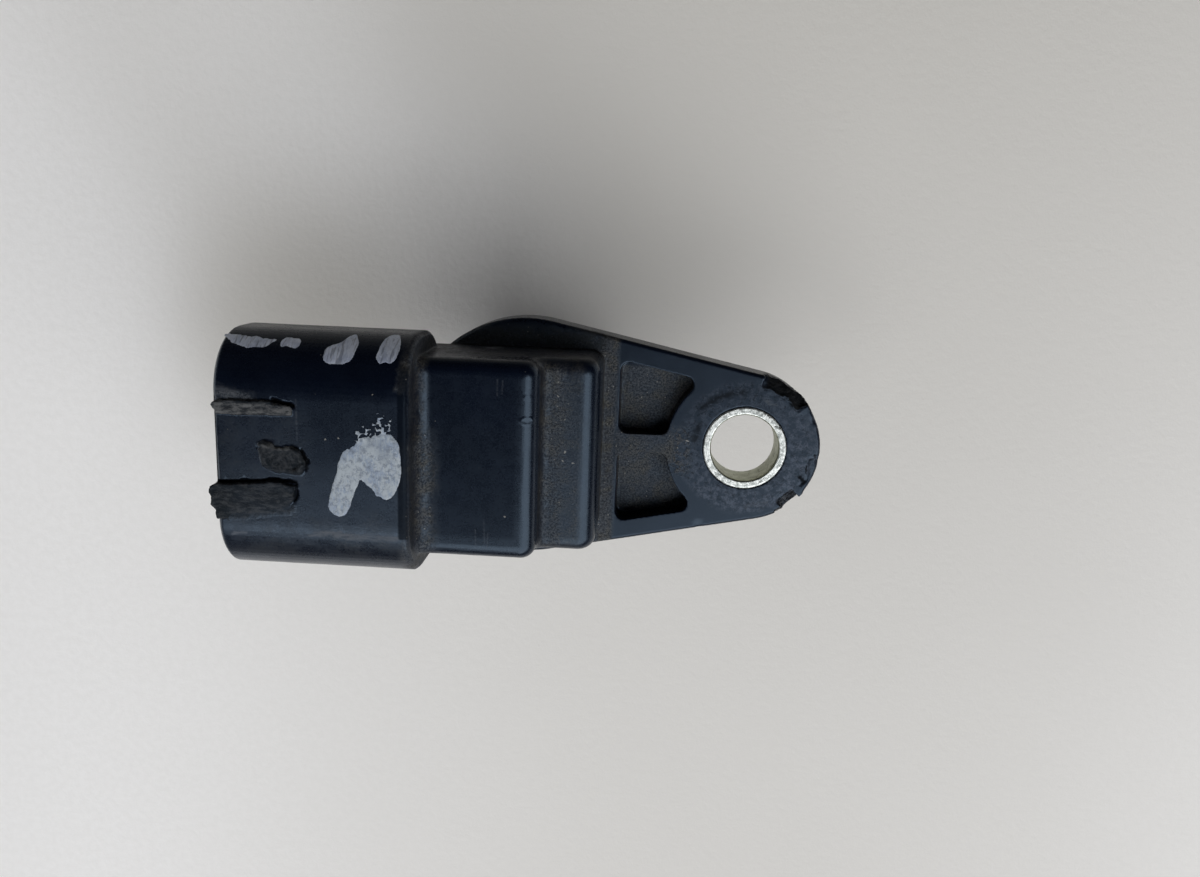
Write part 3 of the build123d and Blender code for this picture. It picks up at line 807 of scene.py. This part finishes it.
def steel_material():
    g = Graph("zinc_plated_steel")
    radius = g.around((BOLT_X, 0))
    bore = g.ramp(radius, SLEEVE_BORE_R + 0.16, SLEEVE_BORE_R + 0.04)
    blotch = g.noise(0.8, 4, 0.65)
    rim = g.mix(g.ramp(g.noise(0.45, 5, 0.75), 0.38, 0.60), STEEL_PITTED, STEEL_BRIGHT)
    wall = g.mix(g.ramp(blotch, 0.35, 0.65), BORE_DARK, BORE_LIGHT)
    dirt = g.ramp(g.noise(0.5, 5, 0.75, offset=(7, 3, 1)), 0.54, 0.66)
    color = g.mix(bore, rim, wall)
    smudge = g.most(g.capsule((24.5, 4.0), (25.4, 3.3), 0.20, 0.14, g.moved(0.5, 0.3)),
                    g.capsule((25.9, 2.55), (26.5, 2.2), 0.13, 0.10, g.moved(0.4, 0.3, 5.0)))
    dirt = g.most(g.product(dirt, 0.6), g.product(smudge, g.ramp(g.noise(0.25, 3, 0.7), 0.4, 0.55)))
    color = g.mix(g.product(dirt, 0.85), color, STEEL_DIRT)
    turned = g.math("SINE", g.product(radius, 75.0))
    rough = g.blend(bore, g.ramp(blotch, 0.3, 0.7, 0.28, 0.42), 0.38)
    rough = g.blend(dirt, rough, 0.7)
    normal = g.bump(turned, 0.002)
    normal = g.bump(g.noise(0.15, 3, 0.6), 0.012, normal)
    return g.done(color, rough, normal, Metallic=1.0)


def rubber_material():
    g = Graph("seal_rubber")
    patch = g.noise(1.2, 4, 0.6)
    color = g.mix(g.ramp(patch, 0.35, 0.65), RUBBER_DARK, RUBBER_LIGHT)
    rough = g.ramp(patch, 0.3, 0.7, 0.42, 0.6)
    return g.done(color, rough, g.bump(g.noise(0.12, 3, 0.6), 0.008))


def plain_material(name, dark, light, rough, metallic, size):
    """A mottled finish for the inner pieces."""
    g = Graph(name)
    patch = g.noise(size, 4, 0.6)
    color = g.mix(g.ramp(patch, 0.35, 0.65), dark, light)
    return g.done(color, g.ramp(patch, 0.3, 0.7, rough - 0.06, rough + 0.08),
                  g.bump(g.noise(size * 0.2, 3, 0.6), 0.006), Metallic=metallic)


def paint_material(name, thick, thin, speckled, gaps):
    """Brushed paint: its colours where thick and thin, how speckled and how open it is."""
    g = Graph(name)
    streak = g.noise(0.28, 4, 0.6, stretch=(0.6, 2.0, 2.0))
    worn = g.noise(0.45, 5, 0.8, offset=(5, 1, 2))
    cloud = g.noise(1.5, 3, 0.5, offset=(1, 6, 2))
    color = g.mix(g.ramp(g.total(streak, cloud), 0.80, 1.12), thin, thick)
    color = g.mix(g.ramp(worn, 0.46, 0.64, 0.0, speckled), color, tuple(0.42 * c for c in thin))
    lean = g.most(g.capsule((-11.5, 2.0), (-10.9, 0.9), 0.55, 0.5),
                  g.capsule((-13.0, 1.4), (-12.3, 2.0), 0.25, 0.3))
    color = g.mix(g.product(lean, 0.45), color, tuple(0.6 * c for c in thin))
    ridges = g.ramp(g.noise(0.2, 3, 0.7, offset=(3, 3, 3)), 0.62, 0.70)
    color = g.mix(ridges, color, tuple(min(1, 1.25 * c) for c in thick))
    if gaps:
        bristle = g.noise(0.34, 2, 0.5, stretch=(0.7, 6.0, 6.0), offset=(2, 2, 9))
        color = g.mix(g.ramp(bristle, 0.54, 0.64, 0.0, gaps), color, PAINT_GAPS)
    return g.done(color, g.ramp(streak, 0.3, 0.7, 0.42, 0.6), g.bump(g.total(streak, worn), 0.03))


def paper_material():
    g = Graph("paper")
    wide = g.noise(60, 3, 0.5)
    grain = g.noise(1.1, 5, 0.65)
    # Painted light and shade across the paper: gradients, patches and wide noise
    painted_light_across = g.total(
        g.product(g.x, 0.0016),
        g.product(g.y, 0.0011),
        g.product(g.x, g.x, -0.000024),
        g.product(g.y, g.y, 0.00001),
        *(g.ramp(g.around(centre), reach, 0.0, 0.0, darker) for centre, reach, darker in PAPER_LIGHT_AND_SHADE_PATCHES),
        g.product(wide, 0.05),
        0.026,
    )
    color = g.mix(g.ramp(painted_light_across, -0.22, 0.24), PAPER_PAINTED_LIT, PAPER_PAINTED_SHADE)
    color = g.mix(g.ramp(grain, 0.35, 0.65, 0.0, 0.10), color, PAPER_GRAIN)
    # Painted shade far out on the paper, which also fades out there
    far = g.around((6.0, -10.0))
    color = g.mix(g.ramp(far, 108.0, 240.0), color, PAPER_FAR_SHADE)
    flecks = g.product(g.specks(22.0, 0.35), g.ramp(g.noise(0.4, 2, 0.5), 0.4, 0.5))
    color = g.mix(g.product(flecks, 0.6), color, PAPER_FLECK)
    g.feed(g.shader.inputs["Alpha"], g.ramp(far, 150.0, 330.0, 1.0, 0.0))
    return g.done(color, 0.9, g.bump(grain, 0.06))


# The housing

def torn_surface(co, no):
    """Move the housing's points so that breaks, tears and moulding marks are in its shape."""
    x, y, z = co.T
    mx = x - MOUTH_X
    moved = co.copy()

    # Slight unevenness of a large moulding
    moved += no * (0.018 * fbm(co, 5.0, 2, seed=3))[:, None]

    # Broken rails
    on_top = step_up(z, SHROUD_TOP - 0.12, SHROUD_TOP - 0.03) * step_up(x, -8.6, -9.2)
    wobble_x = mx + 0.16 * fbm(co, 0.6, 4, seed=11)
    wobble_y = y + 0.16 * fbm(co, 0.6, 4, seed=12)
    for outline, size, stretch, depth, seed in RAIL_BREAKS:
        gap = outline_distance(wobble_x, wobble_y, outline)
        zone = on_top * step_up(gap, 0.22, 0.02)
        rough = fbm(co, size, 4, seed=seed, stretch=stretch)
        moved[:, 2] += zone * depth * rough
        moved[:, 0] += zone * 0.10 * fbm(co, 0.35, 3, seed=seed + 40)
        moved[:, 1] += zone * 0.10 * fbm(co, 0.35, 3, seed=seed + 50)

    # The wide rail's low side was torn away in a slope
    low_edge = line_distance(wobble_x, wobble_y, WIDE_RAIL_SLOPE)
    sloped = on_top * step_up(mx, 0.5, 1.4) * step_up(wobble_y, -3.3, -3.9)
    moved[:, 2] -= sloped * (1 - step_up(low_edge, 0.10, 1.05)) * np.maximum(moved[:, 2] - SHROUD_TOP, 0)

    # Raised lip on the latch's far side, and a hollow before it
    lip = line_distance(wobble_x, wobble_y, LATCH_LIP)
    moved[:, 2] += on_top * 0.24 * np.exp(-((lip / 0.20) ** 2))
    hollow = line_distance(wobble_x, wobble_y, LATCH_HOLLOW)
    moved[:, 2] -= on_top * 0.16 * np.exp(-((hollow / 0.7) ** 2)) * (0.8 + 0.5 * fbm(co, 0.5, 3, seed=61))
    upper_lip = line_distance(wobble_x, wobble_y, LATCH_UPPER_LIP)
    moved[:, 2] += on_top * 0.10 * np.exp(-((upper_lip / 0.16) ** 2))

    # Cracks and pits beside the rails
    for points, width, depth in RAIL_CRACKS:
        near = line_distance(wobble_x, wobble_y, points)
        moved[:, 2] -= on_top * depth * np.exp(-((near / width) ** 2))

    # Breaks in the ear's rim
    bx, by = x - BOLT_X, y
    radius = np.hypot(bx, by)
    angle = np.degrees(np.arctan2(by, bx))
    broken = (
        step_up(radius, 5.9, 6.6)
        * np.maximum(
            step_up(angle, 30, 37) * step_up(angle, 82, 76),
            step_up(angle, -64, -60) * step_up(angle, -31, -37),
        )
        * step_up(z, 1.6, 2.6)
    )
    off_top = 1 - 0.85 * step_up(z, FLANGE_TOP - 0.12, FLANGE_TOP - 0.02)
    waves = fbm(co, 1.1, 3, seed=31)
    moved += no * (broken * off_top * (0.28 * waves + 0.08 * fbm(co, 0.35, 2, seed=33)))[:, None]
    top_edge = broken * step_up(z, FLANGE_TOP - 1.0, FLANGE_TOP - 0.3)
    moved[:, 0] += top_edge * 0.16 * fbm(co, 0.7, 3, seed=37)
    moved[:, 1] += top_edge * 0.16 * fbm(co, 0.7, 3, seed=38)

    # Crack along the ear's rim towards the lower break
    crack = line_distance(x + 0.2 * fbm(co, 0.5, 3, seed=35), y + 0.2 * fbm(co, 0.5, 3, seed=36),
                          EAR_CRACK)
    moved[:, 2] -= 0.08 * step_up(z, FLANGE_TOP - 0.15, FLANGE_TOP - 0.05) * np.exp(-((crack / 0.13) ** 2))

    # Small nicks in the flange's top edge
    for cx, cy, size, depth in FLANGE_NICKS:
        near = np.sqrt((x - cx) ** 2 + (y - cy) ** 2 + (z - FLANGE_TOP) ** 2)
        moved -= no * (depth * np.exp(-((near / size) ** 2)))[:, None]

    # Gate mark on the high block's edge
    for cx, cy, cz, ring_r, depth in GATE_MARKS:
        near = np.sqrt((x - cx) ** 2 + (1.7 * (y - cy)) ** 2 + (z - cz) ** 2)
        ring = np.exp(-(((near - ring_r) / 0.13) ** 2))
        dimple = step_up(near, ring_r, ring_r - 0.2)
        moved += no * (depth * ring - 0.3 * depth * dimple)[:, None]
    moved[:, 2] = np.clip(moved[:, 2], FLOOR_Z, SHROUD_TOP + 0.45)
    moved[:, 0] = np.maximum(moved[:, 0], MOUTH_X - 0.58)
    return moved


def build_housing(material):
    """The moulding, from the CAD part's own mesh rebuilt finely, torn and softened."""
    source = frame["nodes"]["housing"].data
    bm = bmesh.new()
    bm.from_mesh(source)
    bmesh.ops.scale(bm, vec=(1 / MM,) * 3, verts=bm.verts)
    bmesh.ops.remove_doubles(bm, verts=bm.verts, dist=1e-4)
    for side in (-1, 0, 1):
        plug = bmesh.ops.create_cube(bm, size=1.0)["verts"]
        bmesh.ops.scale(bm, vec=PASSAGE_FILL, verts=plug)
        centre = (SOCKET_FLOOR_X + PASSAGE_FILL_X, side * TERMINAL_PITCH, TERMINAL_Z)
        bmesh.ops.translate(bm, vec=centre, verts=plug)
    mesh = bpy.data.meshes.new("housing_blank")
    bm.to_mesh(mesh)
    bm.free()
    obj = add_object("housing_blank", mesh)
    remesh = obj.modifiers.new("remesh", "REMESH")
    remesh.mode = "VOXEL"
    remesh.voxel_size = VOXEL
    soften = obj.modifiers.new("soften", "SMOOTH")
    soften.factor = 0.5
    soften.iterations = 4
    mesh = applied(obj)
    set_coordinates(mesh, torn_surface(coordinates(mesh), normals(mesh)))
    obj = add_object("housing_dense", mesh)
    fewer = obj.modifiers.new("fewer", "DECIMATE")
    fewer.ratio = HOUSING_TRIANGLES / (2 * len(mesh.polygons))
    mesh = applied(obj)
    low, high = (np.array(corner) / MM for corner in cad_box)
    set_coordinates(mesh, np.clip(coordinates(mesh), low + BOX_MARGIN, high - BOX_MARGIN))
    smooth_shaded(mesh)
    obj = add_object("housing_shaded", mesh)
    weigh = obj.modifiers.new("weigh", "WEIGHTED_NORMAL")
    weigh.weight = 100
    mesh = applied(obj)
    return finish_piece("housing_moulding", mesh, material, ["housing"])


# Sleeve and seal

def build_sleeve(material):
    top, bore, outer = SLEEVE_LENGTH, SLEEVE_BORE_R, SLEEVE_OUTER_R
    profile = [(bore, 0.2), (bore, 1.2), (bore, 2.4), (bore, 3.4), (bore, top - 0.22),
               (bore + 0.02, top - 0.12), (bore + 0.07, top - 0.05), (bore + 0.15, top - 0.015)]
    for k in range(TURNED_LINES):
        r = bore + 0.2 + k * 0.055
        profile.append((r, top - (0.012 if k % 2 else 0.0)))
    profile += [(outer - 0.14, top - 0.015), (outer - 0.06, top - 0.05), (outer - 0.015, top - 0.12),
                (outer, top - 0.22), (outer, 2.0), (outer, 0.2), (outer - 0.06, 0.05), (outer - 0.2, 0.0),
                (bore + 0.2, 0.0), (bore + 0.06, 0.05)]
    mesh = lathe(profile, 256, (BOLT_X, 0))
    co = coordinates(mesh)
    rim = step_up(co[:, 2], top - 0.3, top - 0.05)
    co[:, 2] -= rim * 0.02 * (1 + fbm(co, 0.8, 3, seed=61)) * 0.5
    set_coordinates(mesh, co)
    return finish_piece("sleeve_turned", mesh, material, ["bolt_sleeve"])


def build_seal(material):
    profile = [
        (SEAL_R + SEAL_SECTION_R * math.cos(a), SEAL_Z + SEAL_SECTION_R * math.sin(a))
        for a in (2 * math.pi * k / 40 for k in range(40))
    ]
    mesh = lathe(profile, 160)
    return finish_piece("seal_moulded", mesh, material, ["seal_ring"])


# Paint

def shroud_height(y):
    """Height of the socket's rounded top."""
    over = np.clip(np.abs(y) - SHROUD_FLAT_Y, 0, SHROUD_CORNER_R * 0.999)
    return SHROUD_TOP - SHROUD_CORNER_R + np.sqrt(SHROUD_CORNER_R ** 2 - over ** 2)


def stroke_distance(x, y, stroke):
    """Signed distance to a brush stroke, given as points of x, y and half width."""
    best = np.full(x.shape, 1e9)
    for (ax, ay, ar), (bx, by, br) in zip(stroke[:-1], stroke[1:]):
        dx, dy = bx - ax, by - ay
        t = np.clip(((x - ax) * dx + (y - ay) * dy) / (dx * dx + dy * dy + 1e-9), 0, 1)
        best = np.minimum(best, np.hypot(x - ax - t * dx, y - ay - t * dy) - (ar + t * (br - ar)))
    return best


def build_paint(name, strokes, material, thickness, seed, ragged=0.05, splashes=()):
    """Thin film of paint on the socket's top. Strokes count x from the mouth."""
    every = np.array([point for stroke in strokes for point in stroke] + list(splashes))
    low = (every[:, :2] - every[:, 2:]).min(0) - 0.3
    high = (every[:, :2] + every[:, 2:]).max(0) + 0.3
    xs = np.arange(low[0], high[0], PAINT_CELL)
    ys = np.arange(low[1], high[1], PAINT_CELL)
    gx, gy = [a.ravel() for a in np.meshgrid(xs, ys, indexing="ij")]
    flat = np.stack([gx, gy, np.zeros(len(gx))], 1)
    wx = gx + 0.12 * fbm(flat, 0.8, 2, seed=seed)
    wy = gy + 0.12 * fbm(flat, 0.8, 2, seed=seed + 5)
    wy = wy + ragged * fbm(flat, 0.22, 2, seed=seed + 7, stretch=(1, 6, 1))
    gap = np.min([stroke_distance(wx, wy, stroke) for stroke in strokes], axis=0)
    for cx, cy, reach in splashes:
        drops = fbm(flat, 0.22, 2, seed=seed + 11) - 0.12
        away = np.hypot(gx - cx, gy - cy) / reach
        gap = np.minimum(gap, 0.5 * (0.55 * away ** 2 - 0.20 - drops) + step_up(away, 0.95, 1.1))
    top = shroud_height(gy)
    surface = top + 0.018 * fbm(np.stack([gx + MOUTH_X, gy, top], 1), 5.0, 2, seed=3)
    ridges = 0.9 + 0.5 * fbm(flat, 0.3, 3, seed=seed + 9, stretch=(1, 3, 1))
    film = thickness * (0.35 + 0.65 * step_up(-gap, 0.0, 0.22)) * ridges
    rows, columns = len(xs), len(ys)
    inside = (gap < 0).reshape(rows, columns)
    keep = inside[:-1, :-1] & inside[1:, :-1] & inside[1:, 1:] & inside[:-1, 1:]
    bm = bmesh.new()
    tops, bottoms, edges = {}, {}, set()
    for i, j in np.argwhere(keep):
        keys = [int((i + di) * columns + j + dj) for di, dj in ((0, 0), (1, 0), (1, 1), (0, 1))]
        for key in keys:
            if key not in tops:
                tops[key] = bm.verts.new((gx[key] + MOUTH_X, gy[key], surface[key] + film[key]))
                bottoms[key] = bm.verts.new((gx[key] + MOUTH_X, gy[key], surface[key] - PAINT_ROOT))
        bm.faces.new([tops[key] for key in keys])
        bm.faces.new([bottoms[key] for key in reversed(keys)])
        for pair in zip(keys, keys[1:] + keys[:1]):
            opposite = pair[::-1]
            if opposite in edges:
                edges.discard(opposite)
            else:
                edges.add(pair)
    rim = set()
    for a, b in edges:
        bm.faces.new((tops[b], tops[a], bottoms[a], bottoms[b]))
        rim.update((tops[a], tops[b], bottoms[a], bottoms[b]))
    for _ in range(4):
        bmesh.ops.smooth_vert(bm, verts=list(rim), factor=0.5, use_axis_x=True, use_axis_y=True)
    bmesh.ops.recalc_face_normals(bm, faces=bm.faces)
    mesh = bpy.data.meshes.new(name)
    bm.to_mesh(mesh)
    bm.free()
    smooth_shaded(mesh)
    return finish_piece(name, mesh, material)


# Stage

def build_floor():
    bm = bmesh.new()
    bmesh.ops.create_grid(bm, x_segments=2, y_segments=2, size=FLOOR_REACH_M)
    mesh = bpy.data.meshes.new("paper")
    bm.to_mesh(mesh)
    bm.free()
    mesh.transform(Matrix.Translation((0, 0, FLOOR_Z * MM)))
    mesh.materials.append(paper_material())
    obj = add_object("paper", mesh)


def add_light(name, place, size, power):
    """A rectangular lamp that faces the origin."""
    data = bpy.data.lights.new(name, "AREA")
    data.shape = "RECTANGLE"
    data.size, data.size_y = size
    data.energy = power
    obj = bpy.data.objects.new(name, data)
    bpy.context.scene.collection.objects.link(obj)
    obj.location = place
    obj.rotation_euler = (-Vector(place)).to_track_quat("-Z", "Y").to_euler()


def build_world():
    """Dim room, lighter at the horizon on the plug's side. The camera sees a pale backdrop."""
    world = bpy.data.worlds.new("studio")
    world.use_nodes = True
    tree = world.node_tree
    back = tree.nodes["Background"]
    split = tree.nodes.new("ShaderNodeSeparateXYZ")
    tree.links.new(tree.nodes.new("ShaderNodeTexCoord").outputs["Generated"], split.inputs[0])

    def math_node(operation, first, second, clamp=False):
        node = tree.nodes.new("ShaderNodeMath")
        node.operation = operation
        node.use_clamp = clamp
        for socket, value in zip(node.inputs, (first, second)):
            if isinstance(value, float):
                socket.default_value = value
            else:
                tree.links.new(value, socket)
        return node.outputs[0]

    low = math_node("POWER", math_node("SUBTRACT", 1.0, split.outputs[2], True), 2.0)
    side = math_node("ADD", math_node("MULTIPLY", split.outputs[0], GLOW_SIDE[0]),
                     math_node("MULTIPLY", split.outputs[1], GLOW_SIDE[1]))
    side = math_node("POWER", math_node("MAXIMUM", side, 0.0), 4.0)
    above = math_node("MULTIPLY", math_node("ADD", split.outputs[2], 0.01), 100.0, True)
    glow = math_node("MULTIPLY", math_node("MULTIPLY", low, side), GLOW_STRENGTH)
    glow = math_node("MULTIPLY", glow, above)
    below = math_node("MULTIPLY", math_node("SUBTRACT", 1.0, above), LIGHT_FROM_BELOW)
    room = math_node("ADD", math_node("ADD", glow, below), LEAST_LIGHT)
    seen = tree.nodes.new("ShaderNodeLightPath").outputs["Is Camera Ray"]
    rest = math_node("SUBTRACT", 1.0, seen)
    strength = math_node("ADD", math_node("MULTIPLY", room, rest), math_node("MULTIPLY", seen, BACKDROP))
    tree.links.new(strength, back.inputs["Strength"])
    back.inputs["Color"].default_value = ROOM_COLOR
    bpy.context.scene.world = world


def build_camera():
    data = bpy.data.cameras.new("camera")
    data.sensor_width = SENSOR_WIDTH
    data.lens = FOCAL_PIXELS / PICTURE_PIXELS * SENSOR_WIDTH
    data.clip_start = CLIP_START_M
    obj = bpy.data.objects.new("camera", data)
    bpy.context.scene.collection.objects.link(obj)
    place = Matrix.Translation([v * MM for v in CAMERA_PLACE])
    obj.matrix_world = place @ Matrix(CAMERA_TURN).to_4x4()
    bpy.context.scene.camera = obj


bpy.context.scene.view_settings.view_transform = "Standard"

build_housing(housing_material())
build_sleeve(steel_material())
build_seal(rubber_material())

pale = paint_material("white_paint", *BLOB_PAINT)
# The dabs' lighter copy of the white paint is painted light
dab_paint_lightened = paint_material("white_paint_lightened", *DAB_PAINT_LIGHTENED)
build_paint("paint_blob", BLOB_STROKES, pale, 0.06, 71, ragged=0.14, splashes=BLOB_SPLASHES)
for name, strokes, thickness, seed in DABS:
    build_paint(name, strokes, dab_paint_lightened, thickness, seed)

finishes = {name: plain_material(name, *look) for name, look in FINISHES.items()}
for part in frame["record"]["subparts"]:
    node = frame["nodes"][part["node"]]
    if part["material_slot"] in finishes:
        node.data.materials.clear()
        node.data.materials.append(finishes[part["material_slot"]])

build_floor()
build_world()
for lamp in LAMPS:
    add_light(*lamp)
build_camera()
